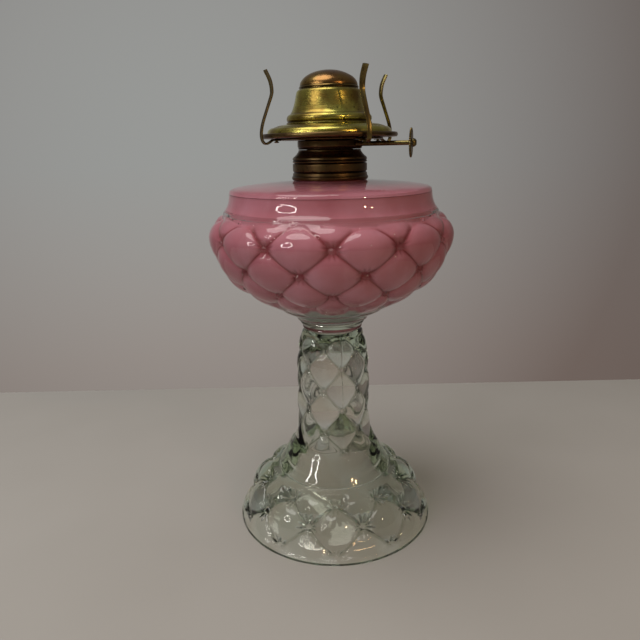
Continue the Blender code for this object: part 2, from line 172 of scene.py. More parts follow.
# ---------------------------------------------------------------- materials
def attribute(tree, name):
    made = node(tree, "ShaderNodeAttribute")
    made.attribute_name = name
    return made.outputs["Fac"]


def glass_material(name, absorbed, density, shadow, reflection_tint, fold_shade):
    """Clear pressed glass, tinted by its depth; shadow and diffuse rays pass straight through it.

    Its reflection tint is painted reflection of the dark room, in random patches; its crease tint is painted
    shade.
    """
    material, tree, shader, output = new_material(name)
    # Painted shade: the glass is tinted darker in its creases.
    fold_shade_mask = ramp(tree, attribute(tree, "crease"), [(0.3, 0.0), (1.0, 1.0)])
    # Painted reflection: random patches tinted as if the glass mirrored the dark room.
    reflection_patches = ramp(tree, noise(tree, 45.0, 0.0), [(0.49, 0.0), (0.53, 1.0)])
    reflected_tint = mix(tree, reflection_patches, (1.0, 1.0, 1.0), reflection_tint)
    tree.links.new(mix(tree, fold_shade_mask, reflected_tint, fold_shade), shader.inputs["Base Color"])
    shader.inputs["Transmission Weight"].default_value = 1.0
    shader.inputs["IOR"].default_value = 1.52
    shader.inputs["Roughness"].default_value = 0.0
    bump(tree, shader, noise(tree, 70.0, 2.0), 0.0012, 0.06)
    clear = node(tree, "ShaderNodeBsdfTransparent")
    clear.inputs["Color"].default_value = (*shadow, 1.0)
    rays = node(tree, "ShaderNodeLightPath")
    either = node(tree, "ShaderNodeMixShader")
    through = node(tree, "ShaderNodeMath", operation="MAXIMUM")
    tree.links.new(rays.outputs["Is Shadow Ray"], through.inputs[0])
    tree.links.new(rays.outputs["Is Diffuse Ray"], through.inputs[1])
    tree.links.new(through.outputs[0], either.inputs[0])
    tree.links.new(shader.outputs[0], either.inputs[1])
    tree.links.new(clear.outputs[0], either.inputs[2])
    tree.links.new(either.outputs[0], output.inputs["Surface"])
    volume = node(tree, "ShaderNodeVolumeAbsorption")
    volume.inputs["Color"].default_value = (*absorbed, 1.0)
    volume.inputs["Density"].default_value = density
    tree.links.new(volume.outputs[0], output.inputs["Volume"])
    return material


OPAL_BOTTOM = (148.0, 149.5)            # the pink lining turns opal white below these heights
SHOULDER_REFLECTION_START = (210.5, 211.5)         # and painted darker above these, a painted reflection of the burner on the shoulder


def pink_material():
    """Opaque pink glass with milky clouds and opal white below; painted shade darkens its creases and a
    painted reflection of the burner darkens its shoulder.
    """
    material, tree, shader, _ = new_material("pink_lining")
    clouds = ramp(tree, noise(tree, 26.0, 3.0), [(0.35, (0.41, 0.13, 0.165)), (0.65, (0.51, 0.20, 0.255))])
    streaks = ramp(tree, noise(tree, 80.0, 3.0, stretch=(1.0, 1.0, 0.3)), [(0.5, 0.0), (0.72, 0.35)])
    milky = mix(tree, streaks, clouds, (0.56, 0.27, 0.34))
    # Painted shade: the pink is darker in its creases.
    fold_shade_mask = ramp(tree, attribute(tree, "crease"), [(0.2, 0.0), (0.95, 0.8)])
    creased = mix(tree, fold_shade_mask, milky, (0.21, 0.03, 0.035))
    above_opal = map_range(tree, height_in_mm(tree), *OPAL_BOTTOM)
    lined = mix(tree, above_opal, (0.36, 0.40, 0.38), creased)
    # Painted reflection: the shoulder is darkened where it would mirror the burner.
    in_shoulder_reflection = map_range(tree, height_in_mm(tree), *SHOULDER_REFLECTION_START)
    colour = mix(tree, in_shoulder_reflection, lined, mix(tree, 0.35, lined, (0.24, 0.06, 0.075)))
    tree.links.new(colour, shader.inputs["Base Color"])
    shader.inputs["Roughness"].default_value = 0.6
    shader.inputs["Specular IOR Level"].default_value = 0.1
    shader.inputs["Subsurface Weight"].default_value = 0.12
    shader.inputs["Subsurface Radius"].default_value = (0.004, 0.0015, 0.0015)
    shader.inputs["Subsurface Scale"].default_value = 1.0
    bump(tree, shader, noise(tree, 120.0, 2.0), 0.0005, 0.2)
    return material


def brass_material(name, bright, dull, spots_and_shade, dulling=0.5, rough=(0.16, 0.36), coppery_above=None):
    """Aged brass: bright metal, duller patches, dark specks, painted shade in corners and fine turning
    marks.

    Above a height of coppery_above millimetres it has gone coppery.
    """
    material, tree, shader, _ = new_material(name)
    patches = noise(tree, 70.0, 5.0)
    base = mix(tree, ramp(tree, patches, [(dulling - 0.15, 0.0), (dulling + 0.15, 1.0)]), bright, dull)
    if coppery_above is not None:
        heat = map_range(tree, height_in_mm(tree), coppery_above, coppery_above + 4.0)
        clouds = ramp(tree, noise(tree, 45.0, 3.0), [(0.35, 0.55), (0.6, 1.0)])
        blush = mix(tree, 1.0, heat, clouds, "MULTIPLY")
        base = mix(tree, blush, base, (0.25, 0.13, 0.045))
    specks = ramp(tree, noise(tree, 520.0, 4.0, 0.6), [(0.58, 0.0), (0.72, 0.9)])
    colour = mix(tree, specks, base, spots_and_shade)
    # Painted shade: darker in the inward corners, in the colour of the dark specks.
    corner_shade = ramp(tree, attribute(tree, "crease"), [(0.2, 0.0), (0.8, 0.9)])
    tree.links.new(mix(tree, corner_shade, colour, spots_and_shade), shader.inputs["Base Color"])
    shader.inputs["Metallic"].default_value = 1.0
    rings = noise(tree, 12.0, 6.0, 0.7, (1.0, 1.0, 160.0))
    wear = mix(tree, 0.5, patches, rings)
    tree.links.new(ramp(tree, wear, [(0.3, rough[0]), (0.7, rough[1])]), shader.inputs["Roughness"])
    bump(tree, shader, mix(tree, 0.35, rings, noise(tree, 900.0, 3.0)), 0.00012, 0.35)
    return material


def plaster_material():
    material, tree, shader, _ = new_material("plaster")
    colour = ramp(tree, noise(tree, 300.0, 5.0), [(0.35, (0.55, 0.52, 0.46)), (0.65, (0.72, 0.70, 0.64))])
    tree.links.new(colour, shader.inputs["Base Color"])
    shader.inputs["Roughness"].default_value = 0.9
    bump(tree, shader, noise(tree, 900.0, 4.0), 0.0003, 0.5)
    return material


def threads(tree, direction, scale, distortion):
    """Rows of thread that follow each other along an axis."""
    made = node(tree, "ShaderNodeTexWave", wave_type="BANDS", bands_direction=direction, Scale=scale,
                Distortion=distortion)
    tree.links.new(object_coordinates(tree), made.inputs["Vector"])
    return made.outputs["Fac"]


def cotton_material():
    """Flat woven cotton with a charred top edge."""
    material, tree, shader, _ = new_material("wick_cotton")
    weave = threads(tree, "Z", 600.0, 0.6)
    ribs = threads(tree, "X", 320.0, 0.4)
    cloth = mix(tree, weave, (0.52, 0.46, 0.36), (0.74, 0.69, 0.58))
    char = ramp(tree, map_range(tree, height_in_mm(tree), 258.0, 268.0), [(0.35, 0.0), (0.8, 1.0)])
    tree.links.new(mix(tree, char, cloth, (0.02, 0.017, 0.015)), shader.inputs["Base Color"])
    shader.inputs["Roughness"].default_value = 0.95
    bump(tree, shader, mix(tree, 0.5, weave, ribs), 0.0004, 0.8)
    return material


# ---------------------------------------------------------------- shapes
def curve_through(points, steps):
    """Points along a Catmull-Rom curve through the given points, with steps to each span."""
    points = np.array(points, dtype=float)
    ends = np.vstack([2 * points[0] - points[1], points, 2 * points[-1] - points[-2]])
    t = (np.arange(steps) / steps)[:, None]
    spans = []
    for a, b, c, d in zip(ends, ends[1:], ends[2:], ends[3:]):
        spans.append(0.5 * (2 * b + (c - a) * t + (2 * a - 5 * b + 4 * c - d) * t ** 2
                            + (3 * b - a - 3 * c + d) * t ** 3))
    return np.vstack(spans + [points[-1:]])


def evenly(path, spacing):
    """The same path with points evenly spaced along it."""
    path = np.asarray(path, dtype=float)
    along = np.concatenate([[0.0], np.cumsum(np.linalg.norm(np.diff(path, axis=0), axis=1))])
    count = max(2, int(round(along[-1] / spacing)) + 1)
    where = np.linspace(0.0, along[-1], count)
    return np.column_stack([np.interp(where, along, path[:, axis]) for axis in range(2)])


def rounded(corners, radius, steps=4):
    """An outline with its corners rounded; a corner may carry its own radius as a third number."""
    made = []
    count = len(corners)
    for index, corner in enumerate(corners):
        own = corner[2] if len(corner) > 2 else radius
        point = np.array(corner[:2])
        before = np.array(corners[index - 1][:2])
        after = np.array(corners[(index + 1) % count][:2])
        if point[0] == 0 or own == 0:
            made.append(point)
            continue
        back = (before - point) / np.linalg.norm(before - point)
        ahead = (after - point) / np.linalg.norm(after - point)
        cosine = float(np.clip(back @ ahead, -1, 1))
        half = math.acos(cosine) / 2
        if half > math.radians(87):
            made.append(point)
            continue
        reach = min(own / math.tan(half), 0.45 * np.linalg.norm(before - point),
                    0.45 * np.linalg.norm(after - point))
        start, finish = point + back * reach, point + ahead * reach
        for t in np.linspace(0, 1, steps + 1):
            made.append((1 - t) ** 2 * start + 2 * t * (1 - t) * point + t ** 2 * finish)
    return np.array(made)


def outward(outline):
    """Sideways directions of an outline, to the left as it runs, for an open row of points."""
    ahead = np.gradient(outline, axis=0)
    ahead /= np.linalg.norm(ahead, axis=1)[:, None] + 1e-12
    return np.column_stack([-ahead[:, 1], ahead[:, 0]])


def mesh_object(name, vertices, faces, smooth_angle=40.0):
    mesh = bpy.data.meshes.new(name)
    mesh.from_pydata([tuple(v) for v in vertices], [], [tuple(f) for f in faces])
    mesh.validate()
    mesh.update()
    mesh.shade_smooth()
    if smooth_angle:
        mesh.set_sharp_from_angle(angle=math.radians(smooth_angle))
    piece = bpy.data.objects.new(name, mesh)
    bpy.context.collection.objects.link(piece)
    return piece


def mark(piece, values):
    """Give each point of a mesh a crease value, from 0 in the open to 1 in a corner."""
    layer = piece.data.attributes.new("crease", "FLOAT", "POINT")
    layer.data.foreach_set("value", np.asarray(values, dtype=np.float32))
    return piece


def turned(name, outline, segments=144, sink=None, smooth_angle=40.0, centre=(0.0, 0.0), marks=None):
    """Turn a closed outline, running down its outer side, about the lamp's axis.

    sink, if given, holds for each outline point and angle how far the surface moves along the
    outline's outward direction. Points on the axis become one vertex each.
    """
    outline = np.asarray(outline, dtype=float)
    count = len(outline)
    angles = np.arange(segments) * math.tau / segments
    radius = np.repeat(outline[:, :1], segments, axis=1)
    height = np.repeat(outline[:, 1:], segments, axis=1)
    if sink is not None:
        out = sink["directions"]
        radius = radius + out[:, :1] * sink["amounts"]
        height = height + out[:, 1:] * sink["amounts"]
    x = centre[0] + radius * np.cos(angles)
    y = centre[1] + radius * np.sin(angles)
    grid = np.stack([x, y, height], axis=2)
    on_axis = outline[:, 0] < 1e-9
    index = np.zeros((count, segments), dtype=int)
    vertices, creases = [], []
    total = 0
    for row in range(count):
        kept = 1 if on_axis[row] else segments
        vertices.append(grid[row, :kept])
        creases.append(np.zeros(kept) if marks is None else marks[row, :kept])
        index[row] = total + (0 if on_axis[row] else np.arange(segments))
        total += kept
    vertices = np.vstack(vertices) * MM
    faces = []
    for row in range(count):
        below = (row + 1) % count
        if on_axis[row] and on_axis[below]:
            continue
        here, there = index[row], index[below]
        here_next, there_next = np.roll(here, -1), np.roll(there, -1)
        if on_axis[row]:
            faces.extend(zip(here, there, there_next))
        elif on_axis[below]:
            faces.extend(zip(here, there, here_next))
        else:
            faces.extend(zip(here, there, there_next, here_next))
    return mark(mesh_object(name, vertices, faces, smooth_angle), np.concatenate(creases))


# ---------------------------------------------------------------- the quilting
def quilt(outline, angles, lattice, look, fade, heights=None):
    """How far each point of a quilted surface moves outward, in millimetres, and how creased it is.

    The lattice's rows are the heights of its button rows, top to bottom; buttons of even rows stand
    at its first angle and every two half turns from it, those of odd rows halfway between. Creases
    join each button to the nearest ones of the next row. fade is 1 where the surface is quilted.
    heights stands in for the outline's own heights when an inner wall follows an outer one.
    """
    rows, first_angle, half_turn = lattice
    level = outline[:, 1] if heights is None else heights
    path = np.concatenate([[0.0], np.cumsum(np.linalg.norm(np.diff(outline, axis=0), axis=1))])
    stops = np.interp(-np.asarray(rows), -level, path)
    v = np.interp(path, stops, np.arange(len(rows)))
    above, below = path < stops[0], path > stops[-1]
    v[above] = (path[above] - stops[0]) / (stops[1] - stops[0])
    v[below] = len(rows) - 1 + (path[below] - stops[-1]) / (stops[-1] - stops[-2])
    v = v[:, None]
    u = ((angles - first_angle) / half_turn)[None, :]
    a, b = (u - v) / 2, (u + v) / 2
    puff = np.abs(np.sin(math.pi * a) * np.sin(math.pi * b))
    near_a, near_b = a - np.round(a), b - np.round(b)
    across = (near_a + near_b) * half_turn * outline[:, :1]
    step = np.gradient(path)
    v_step = np.abs(np.gradient(v[:, 0])) + 1e-9
    along = (near_b - near_a) * (step / v_step)[:, None]
    away = np.hypot(across, along)
    turn = np.arctan2(along, across)
    crease = look["crease"] * (1.0 - puff ** look["crispness"])
    pit = look["pit"] * np.exp(-(away / look["width"]) ** 2)
    pleat = look["pleat"] * (0.5 - 0.5 * np.cos(look["pleats"] * turn))
    pleat = pleat * np.exp(-((away - look["width"]) / (0.75 * look["width"])) ** 2)
    knob = look["bead"] * np.sqrt(np.clip(1.0 - (away / look["bead_radius"]) ** 2, 0.0, 1.0))
    moves = (knob - crease - pit - pleat) * fade[:, None]
    in_crease = np.exp(-(puff / 0.16) ** 2)
    in_pit = 0.7 * np.exp(-(away / look["width"]) ** 2)
    in_pleat = 0.9 * pleat / look["pleat"]
    creased = np.maximum(np.maximum(in_crease, in_pit), in_pleat) * fade[:, None]
    if look["bead"]:
        creased = creased * (1.0 - np.exp(-(away / look["bead_radius"]) ** 4))
    return moves, creased


def fade_between(values, start, finish):
    """0 at start rising smoothly to 1 at finish."""
    t = np.clip((values - start) / (finish - start), 0.0, 1.0)
    return t * t * (3.0 - 2.0 * t)


# ---------------------------------------------------------------- putting pieces on the frame
def dress(piece, material, body, slot, *nodes):
    """Give a piece its material, ride it on its body and let it stand for CAD nodes."""
    piece.data.materials.clear()
    piece.data.materials.append(material)
    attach(piece, body)
    if nodes:
        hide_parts(*nodes)
    return piece


def redress(material, *names):
    """Give CAD nodes that stay their procedural material."""
    for name in names:
        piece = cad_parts[name]
        piece.data.materials.clear()
        piece.data.materials.append(material)
        piece.data.shade_smooth()
        piece.data.set_sharp_from_angle(angle=math.radians(35))


# ---------------------------------------------------------------- glass
GLASS_SEGMENTS = 540
GLASS_STEP = 0.75
WAFER_SEGMENTS = 180
FONT_LATTICE = ((201.0, 186.8, 171.2, 158.0, 148.6), from_view(-15.8), math.radians(15.0))
FOOT_LATTICE = ((31.4, 19.4, 3.2), from_view(-1.0), math.radians(18.0))
STEM_LATTICE = ((118.0, 106.6, 92.6, 79.4, 65.4, 54.0), from_view(-17.0), math.radians(30.0))
FONT_QUILT = {"crease": 2.7, "crispness": 0.5, "pit": 1.2, "width": 3.0, "pleat": 0.7, "pleats": 12,
              "bead": 2.4, "bead_radius": 1.9}
LINING_QUILT = {"crease": 2.9, "crispness": 0.54, "pit": 1.3, "width": 3.4, "pleat": 0.9, "pleats": 12,
                "bead": 0.0, "bead_radius": 1.0}
FOOT_QUILT = {"crease": 3.4, "crispness": 0.6, "pit": 1.5, "width": 4.2, "pleat": 1.5, "pleats": 12,
              "bead": 2.4, "bead_radius": 1.8}
STEM_QUILT = {"crease": 1.9, "crispness": 0.6, "pit": 0.8, "width": 1.8, "pleat": 0.5, "pleats": 12,
              "bead": 0.8, "bead_radius": 1.0}
CASING_WALL = 3.0
LINING_WALL = 5.2
LINING_FOOT = 153.0                     # where the walls between the two glasses meet their floors
FUSE = 0.3                              # how far the lining reaches into the casing
SEAM_ANGLES = [from_view(14.0 + 120.0 * index) for index in range(3)]


def glass_angles():
    return np.arange(GLASS_SEGMENTS) * math.tau / GLASS_SEGMENTS


def font_belly():
    """The font's quilted side, from under its bead ring to its smooth bottom."""
    return evenly(curve_through([(63.3, 198.9), (66.8, 197.4), (70.0, 194.0), (71.8, 189.4), (72.0, 185.6),
                                 (71.5, 181.0), (70.1, 175.4), (67.5, 169.6), (63.6, 163.6), (58.4, 158.0),
                                 (51.6, 152.8), (43.8, 148.4), (37.0, 145.0), (33.2, 143.4)], 8),
                  GLASS_STEP)


def font_top():
    """Neck, domed shoulder, flared band and bead ring, down to the quilted side."""
    shoulder = curve_through([(24.0, 217.0), (34.0, 216.3), (46.0, 215.3), (55.5, 214.0), (58.4, 212.9)], 4)
    band = curve_through([(58.9, 211.4), (59.1, 209.2), (59.6, 206.6), (60.7, 203.6), (62.5, 201.0)], 5)
    ring = curve_through([(63.0, 200.3), (62.9, 199.6), (62.6, 199.3)], 2)
    neck = [(19.8, 224.0), (19.8, 218.6), (20.3, 217.6), (21.4, 217.1)]
    return np.vstack([neck, shoulder, band, ring])


def quilt_fade(heights):
    """The font's quilting starts under the bead ring and dies away towards its bottom."""
    return (1.0 - fade_between(heights, 198.0, 199.2)) * fade_between(heights, 145.0, 149.0)


def font_rows(wall, look, stop):
    """One wall of the font, down to a height of stop: outline, directions, movements and creases."""
    outer = np.vstack([font_top(), font_belly()])
    outline = outer - outward(outer) * wall
    heights = outer[:, 1]
    moves, creased = quilt(outline, glass_angles(), FONT_LATTICE, look, quilt_fade(heights), heights)
    kept = outline[:, 1] > stop
    return outline[kept], outward(outline)[kept], moves[kept], creased[kept]


def joined(*sections):
    """Sections of (outline, directions, movements, creases) in one; a plain outline doesn't move."""
    full = []
    for section in sections:
        if not isinstance(section, tuple):
            outline = np.atleast_2d(np.asarray(section, dtype=float))
            still = np.zeros((len(outline), GLASS_SEGMENTS))
            section = (outline, np.zeros_like(outline), still, still)
        full.append(section)
    outline, directions, moves, creased = (np.vstack(parts) for parts in zip(*full))
    return outline, {"directions": directions, "amounts": moves}, creased


def reverse(section, every=1):
    return tuple(part[::-1][::every] for part in section)


def font_casing(material):
    outer = font_rows(0.0, FONT_QUILT, 0.0)
    inner = font_rows(CASING_WALL, LINING_QUILT, LINING_FOOT)
    bottom = curve_through([(32.2, 142.8), (31.5, 141.6), (29.4, 140.4), (26.6, 139.2), (24.2, 137.9),
                            (22.5, 136.3), (21.9, 135.0)], 4)
    floor = curve_through([(0.0, 146.0), (14.0, 146.2), (28.0, 147.8), (39.0, 151.8)], 4)
    outline, sink, creased = joined(outer, bottom, [(21.3, 134.6), (0.0, 134.6)], floor, reverse(inner, 2))
    casing = turned("font_casing_glass", outline, GLASS_SEGMENTS, sink, 60.0, marks=creased)
    dress(casing, material, "stand", "clear_glass", "font_casing")


def font_lining(material):
    outer = font_rows(CASING_WALL - FUSE, LINING_QUILT, LINING_FOOT)
    full = np.vstack([font_top(), font_belly()])
    inner = full - outward(full) * (CASING_WALL + LINING_WALL)
    inner = evenly(inner[(inner[:, 1] > 156.0) & (inner[:, 1] < 210.0)], 2.5)
    bottom = curve_through([(39.0, 151.4), (28.0, 147.4), (14.0, 145.8), (0.0, 145.6)], 4)
    floor = curve_through([(0.0, 147.5), (14.0, 147.6), (26.0, 149.8), (36.0, 154.0)], 4)
    neck = [(40.0, 210.8), (16.6, 212.4), (16.6, 224.0)]
    outline, sink, creased = joined(outer, bottom, floor, inner[::-1], neck)
    lining = turned("font_lining_pink", outline, GLASS_SEGMENTS, sink, 60.0, marks=creased)
    dress(lining, material, "stand", "pink_glass", "font_lining")


def seams(count):
    """Fine upright mould seams, one row for each of count outline points."""
    height, width = 0.2, math.radians(1.1)
    total = np.zeros(GLASS_SEGMENTS)
    for angle in SEAM_ANGLES:
        off = np.angle(np.exp(1j * (glass_angles() - angle)))
        total += height * np.exp(-(off / width) ** 2)
    return np.tile(total, (count, 1))


def foot_and_stem(material):
    """Quilted stem, smooth skirt and quilted foot with its hollow, in one piece of glass."""
    stem = evenly(curve_through([(17.9, 127.2), (19.5, 125.4), (21.0, 121.0), (22.4, 112.0), (23.2, 102.0),
                                 (23.4, 91.0), (23.4, 80.0), (23.4, 71.0), (24.1, 63.0), (26.0, 55.0),
                                 (28.8, 49.0)], 6), GLASS_STEP)
    skirt = evenly(curve_through([(28.8, 49.0), (31.6, 44.0), (34.3, 39.2), (36.0, 36.6), (36.5, 35.4),
                                  (36.3, 34.4)], 6), 0.9)[1:]
    foot = evenly(curve_through([(36.9, 34.0), (41.0, 33.4), (46.0, 31.2), (51.0, 27.1), (55.2, 21.4),
                                 (58.6, 14.8), (61.1, 8.2), (62.8, 3.0)], 6), GLASS_STEP)
    rim = curve_through([(63.1, 1.8), (63.1, 0.8), (62.4, 0.0)], 4)
    hollow = evenly(curve_through([(58.9, 0.6), (58.0, 2.4), (55.6, 6.4), (50.0, 13.0), (44.4, 17.6),
                                   (39.0, 21.0), (34.2, 24.4), (30.4, 28.6), (27.4, 35.5), (24.4, 47.0),
                                   (21.6, 56.0), (19.6, 64.0), (18.4, 76.0), (18.1, 88.0), (17.6, 100.0),
                                   (16.0, 109.5), (13.0, 115.6), (8.6, 119.4), (3.0, 120.9)], 5), 2.0)
    stem_fade = (1.0 - fade_between(stem[:, 1], 124.5, 127.0)) * fade_between(stem[:, 1], 49.5, 53.5)
    stem_moves, stem_creases = quilt(stem, glass_angles(), STEM_LATTICE, STEM_QUILT, stem_fade)
    foot_fade = (1.0 - fade_between(foot[:, 1], 32.6, 33.9)) * fade_between(foot[:, 1], 3.4, 5.5)
    foot_moves, foot_creases = quilt(foot, glass_angles(), FOOT_LATTICE, FOOT_QUILT, foot_fade)
    still = np.zeros((len(skirt), GLASS_SEGMENTS))
    outline, sink, creased = joined(
        [(0.0, 128.0), (16.6, 128.0), (17.4, 127.8)],
        (stem, outward(stem), stem_moves + seams(len(stem)), stem_creases),
        (skirt, outward(skirt), seams(len(skirt)), still),
        (foot, outward(foot), foot_moves, foot_creases), rim, [(59.6, 0.0)], hollow, [(0.0, 121.0)])
    piece = turned("foot_and_stem_glass", outline, GLASS_SEGMENTS, sink, 60.0, marks=creased)
    dress(piece, material, "stand", "clear_glass", "foot_and_stem")


def glass_wafer(material):
    corners = [(0.0, 134.3), (19.6, 134.3), (20.1, 133.0), (19.0, 131.2), (18.1, 130.4), (18.5, 129.4),
               (17.9, 128.3), (0.0, 128.3)]
    outline = finely(rounded(corners, 0.7), 0.5)
    # These hollow marks carry the wafer's painted dark red shade.
    marks = np.tile(hollows(outline, 1.4, 0.5)[:, None], (1, WAFER_SEGMENTS))
    disc = turned("glass_wafer_disc", outline, WAFER_SEGMENTS, marks=marks)
    dress(disc, material, "stand", "clear_glass", "glass_wafer")


# ---------------------------------------------------------------- sheet metal
METAL_SEGMENTS = 160
SHAFT_Y = -5.5
SHAFT_Z = 237.2


def finely(outline, longest=0.7):
    """A closed outline with no edge longer than longest, apart from those along the axis."""
    outline = np.asarray(outline, dtype=float)
    made = []
    for point, after in zip(outline, np.roll(outline, -1, axis=0)):
        pieces = max(1, int(math.ceil(np.linalg.norm(after - point) / longest)))
        if point[0] == 0 and after[0] == 0:
            pieces = 1
        for part in range(pieces):
            made.append(point + (after - point) * part / pieces)
    return np.array(made)


def hollows(outline, reach=0.9, full=0.9):
    """How far each point of a closed outline lies in an inward corner, from 0 to 1."""
    before = outline - np.roll(outline, 1, axis=0)
    after = np.roll(outline, -1, axis=0) - outline
    cross = before[:, 0] * after[:, 1] - before[:, 1] * after[:, 0]
    turn = np.arctan2(cross, (before * after).sum(axis=1))
    apart = np.linalg.norm(outline[:, None] - outline[None], axis=2)
    near = np.clip(1.0 - apart / reach, 0.0, 1.0)
    return np.clip((near * np.clip(turn, 0.0, None)[None]).sum(axis=1) / full, 0.0, 1.0)


def metal(name, outline):
    """A turned piece of sheet metal, marked for painted shade in its hollows."""
    outline = finely(outline)
    marks = np.tile(hollows(outline)[:, None], (1, METAL_SEGMENTS))
    return turned(name, outline, METAL_SEGMENTS, marks=marks)


def sheet_outline(outer, thickness):
    """Closed outline of a pressed sheet, from its outer side running down."""
    outer = np.asarray(outer, dtype=float)
    inner = outer - outward(outer) * thickness
    inner[:, 0] = np.maximum(inner[:, 0], 0.0)
    if outer[0, 0] == 0:
        inner[0] = (0.0, outer[0, 1] - thickness)
    return np.vstack([outer, inner[::-1]])


def along_x(piece):
    """Lay a turned piece along the raiser shaft, heights becoming distances along +X."""
    lying = Matrix(((0, 0, 1, 0), (1, 0, 0, SHAFT_Y * MM), (0, 1, 0, SHAFT_Z * MM), (0, 0, 0, 1)))
    piece.data.transform(lying)
    return piece


def carve(piece, cutter):
    """Take a cutter away from a piece."""
    boolean = piece.modifiers.new("carve", "BOOLEAN")
    boolean.operation = "DIFFERENCE"
    boolean.solver = "EXACT"
    boolean.object = cutter
    bpy.context.view_layer.update()
    result = bpy.data.meshes.new_from_object(piece.evaluated_get(bpy.context.evaluated_depsgraph_get()))
    piece.modifiers.clear()
    piece.data = result
    result.set_sharp_from_angle(angle=math.radians(40))
    bpy.data.objects.remove(cutter)


def long_hole(length, width, low, high, steps=16):
    """A cutter with round ends, long along X."""
    reach = (length - width) / 2
    half = np.linspace(-math.pi / 2, math.pi / 2, steps)
    angles = np.concatenate([half, half + math.pi])
    centres = np.concatenate([np.full(steps, reach), np.full(steps, -reach)])
    ring = np.column_stack([centres + width / 2 * np.cos(angles), width / 2 * np.sin(angles)])
    count = len(ring)
    vertices = [(x * MM, y * MM, z * MM) for z in (low, high) for x, y in ring]
    faces = [tuple(reversed(range(count))), tuple(range(count, 2 * count))]
    faces += [(i, (i + 1) % count, count + (i + 1) % count, count + i) for i in range(count)]
    return mesh_object("long_hole", vertices, faces, 0)


def burner_dome(material):
    angle = np.linspace(0.0, math.pi / 2, 26)
    cap = np.column_stack([16.3 * np.sin(angle), 268.4 + 8.6 * np.cos(angle)])
    side = [(16.7, 268.0), (16.8, 267.6), (16.5, 267.3), (16.6, 266.9), (17.3, 266.4), (18.0, 265.8),
            (18.3, 265.1), (18.7, 263.3), (19.4, 260.2), (20.2, 257.5), (21.2, 255.1), (21.9, 254.0),
            (22.3, 253.6), (23.2, 253.2), (23.9, 252.4), (24.2, 251.4), (24.1, 250.4), (23.7, 249.8),
            (23.6, 249.5), (24.0, 249.2), (24.3, 248.9), (24.3, 248.4)]
    dome = metal("burner_dome_brass", sheet_outline(np.vstack([cap, side]), 0.7))
    carve(dome, long_hole(length=27.0, width=6.6, low=262.0, high=280.0))
    dress(dome, material, "gallery", "brass", "burner_dome")


def chimney_seat(material):
    outer = [(22.8, 248.1), (25.4, 248.1), (28.6, 247.75), (31.0, 247.0), (31.8, 246.5), (32.3, 246.5),
             (33.4, 246.3), (34.5, 245.6), (35.2, 244.6), (35.5, 243.3), (35.5, 241.8)]
    seat = metal("chimney_seat_brass", sheet_outline(outer, 0.6))
    dress(seat, material, "gallery", "brass", "chimney_seat")


def gallery_plate(material):
    corners = [(36.5, 243.3, 0.3), (38.5, 243.3), (38.9, 242.3), (38.9, 241.6), (38.3, 240.8),
               (30.0, 240.8, 0.2), (30.0, 241.5, 0.2), (36.2, 241.5, 0.3), (36.2, 242.9, 0.3)]
    rim = metal("gallery_plate_rim", rounded(corners, 0.8))
    dress(rim, material, "gallery", "dark_brass", "gallery_plate")


def collar(material):
    corners = [(20.9, 227.0), (21.5, 226.5), (21.5, 222.7), (20.8, 222.1, 0.15), (21.5, 221.4),
               (21.6, 220.0), (22.2, 219.3), (22.1, 218.4), (21.5, 217.6, 0.3), (20.3, 217.6, 0.2),
               (20.3, 219.0, 0.2), (15.9, 219.0, 0.2), (15.9, 227.0, 0.3)]
    ring = metal("collar_ring", rounded(corners, 0.4))
    dress(ring, material, "stand", "dark_brass", "collar")


def burner_base(material):
    corners = [(17.9, 234.4, 0.2), (18.1, 233.5), (19.3, 231.8), (20.5, 230.7), (21.2, 230.2),
               (21.5, 229.4), (21.5, 228.9, 0.2), (21.0, 228.6, 0.15), (21.5, 228.2, 0.2), (21.5, 227.6),
               (21.1, 227.3), (15.6, 227.3, 0.2), (15.6, 220.5, 0.2), (14.6, 220.5, 0.2), (14.6, 229.0, 0.2),
               (16.3, 230.0, 0.4), (16.3, 234.4, 0.2)]
    cup = metal("burner_base_cup", rounded(corners, 0.5))
    dress(cup, material, "burner", "dark_brass", "burner_base")


def burner_basket(material):
    corners = [(17.9, 239.5, 0.3), (18.4, 239.0, 0.3), (18.4, 236.2), (17.9, 235.4), (18.2, 234.9),
               (17.6, 234.6, 0.2), (15.9, 234.6, 0.2), (15.9, 235.3, 0.2), (17.3, 235.3, 0.3),
               (17.7, 236.4), (17.7, 238.8, 0.3), (17.4, 239.5, 0.2)]
    band = metal("burner_basket_band", rounded(corners, 0.5))
    dress(band, material, "burner", "dark_brass", "burner_basket")


